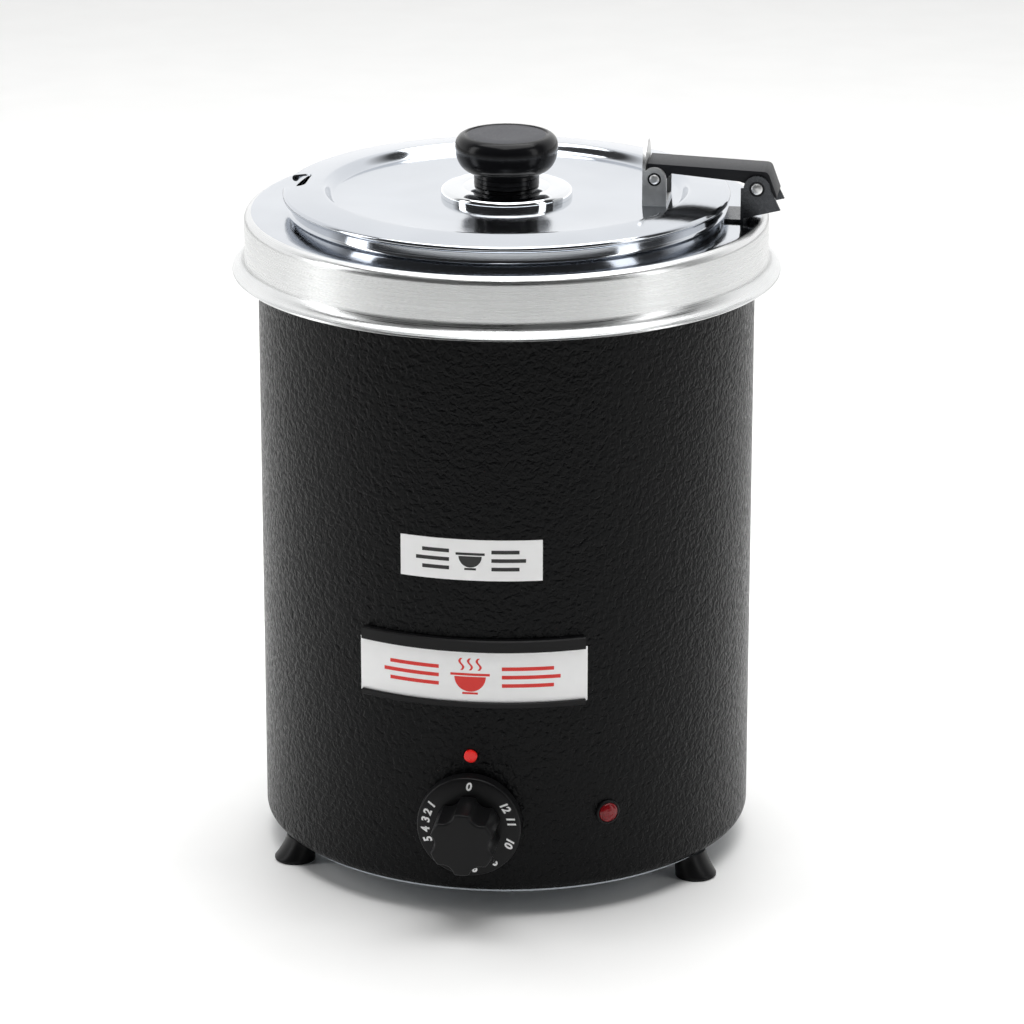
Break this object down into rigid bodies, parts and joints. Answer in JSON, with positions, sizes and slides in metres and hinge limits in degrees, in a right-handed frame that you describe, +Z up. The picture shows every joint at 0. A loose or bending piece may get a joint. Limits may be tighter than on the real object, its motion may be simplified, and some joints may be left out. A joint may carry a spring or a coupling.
{
  "type": "soup kettle",
  "caption": "Round electric soup kettle: black housing on feet, heated water well, lift-out pot, steel lid ring, hinged lid with knob, thermostat dial and pilot lamp.",
  "frame": {"origin": "on the floor under the kettle's vertical axis", "axes": "+Z up, -Y towards the control dial, +X towards the lid's hinge"},
  "size_m": [0.2664, 0.3018, 0.356],
  "materials": {
    "body_paint": "black hammered powder coat, satin",
    "zinc_plate": "zinc plated sheet",
    "fastener_steel": "bright zinc plated",
    "foot_plastic": "moulded black plastic",
    "stainless": "brushed stainless steel",
    "element_foil": "foil between mica sheets",
    "phenolic": "moulded, matt",
    "copper": "drawn copper tube",
    "dial_plastic": "moulded black plastic, satin, printed numbers",
    "lamp_red": "clear red lens",
    "indicator_red": "bright red, satin",
    "holder_plastic": "extruded black plastic, satin",
    "label_white": "white printed card",
    "gland_plastic": "moulded black nylon",
    "terminal_plastic": "moulded white nylon",
    "wire_insulation": "silicone insulation",
    "ring_steel": "polished stainless, fine brushing round the skirt",
    "lid_steel": "polished stainless, mirror panel",
    "bracket_steel": "bright pressed stainless sheet",
    "arm_plastic": "moulded black plastic, satin",
    "chrome": "polished chrome plate",
    "knob_plastic": "turned phenolic, semi-gloss, matt top"
  },
  "bodies": {
    "root": {"outer_housing": "body_paint", "base_plate": "zinc_plate", "base_screws": "fastener_steel", "foot_left": "foot_plastic", "foot_right": "foot_plastic", "foot_rear": "foot_plastic", "foot_screws": "fastener_steel", "water_well": "stainless", "heating_element": "element_foil", "element_clamp": "zinc_plate", "clamp_studs": "fastener_steel", "clamp_nuts": "fastener_steel", "thermostat_bracket": "zinc_plate", "thermostat_body": "phenolic", "thermostat_screws": "fastener_steel", "thermostat_bulb": "copper", "bulb_clip": "zinc_plate", "capillary": "copper", "lamp_bezel": "dial_plastic", "lamp_lens": "lamp_red", "lamp_clip": "zinc_plate", "indicator": "indicator_red", "label_holder": "holder_plastic", "label_card": "label_white", "name_plate": "label_white", "gland_body": "gland_plastic", "gland_dome_nut": "gland_plastic", "gland_lock_nut": "gland_plastic", "terminal_block": "terminal_plastic", "wiring": "wire_insulation"},
    "dial": {"control_dial": "dial_plastic", "thermostat_shaft": "fastener_steel"},
    "pot": {"insert_pot": "stainless"},
    "ring": {"lid_ring": "ring_steel", "ring_bracket": "bracket_steel"},
    "arm": {"hinge_arm": "arm_plastic", "ring_pin": "bracket_steel", "lid_pin": "bracket_steel"},
    "lid": {"lid": "lid_steel", "lid_bracket": "bracket_steel", "knob_washer": "chrome", "lid_knob": "knob_plastic", "knob_screw": "fastener_steel"}
  },
  "joints": [
    {"name": "dial_turn", "type": "hinge", "parent": "root", "child": "dial", "pos_m": [0, -0.125, 0.0495], "axis": [0, 1, 0], "range_deg": [0, 303]},
    {"name": "pot_lift", "type": "slide", "parent": "root", "child": "pot", "axis": [0, 0, 1], "range_m": [0, 0.21]},
    {"name": "ring_lift", "type": "slide", "parent": "pot", "child": "ring", "axis": [0, 0, 1], "range_m": [0, 0.08]},
    {"name": "arm_swing", "type": "hinge", "parent": "ring", "child": "arm", "pos_m": [0.1217, 0, 0.336], "axis": [0, 1, 0], "range_deg": [0, 100]},
    {"name": "lid_tilt", "type": "hinge", "parent": "arm", "child": "lid", "pos_m": [0.0727, 0, 0.33897], "axis": [0, 1, 0], "range_deg": [0, 4]}
  ],
  "couplings": [
    {"joint": "lid_tilt", "follows": "arm_swing", "ratio": 0.04}
  ]
}
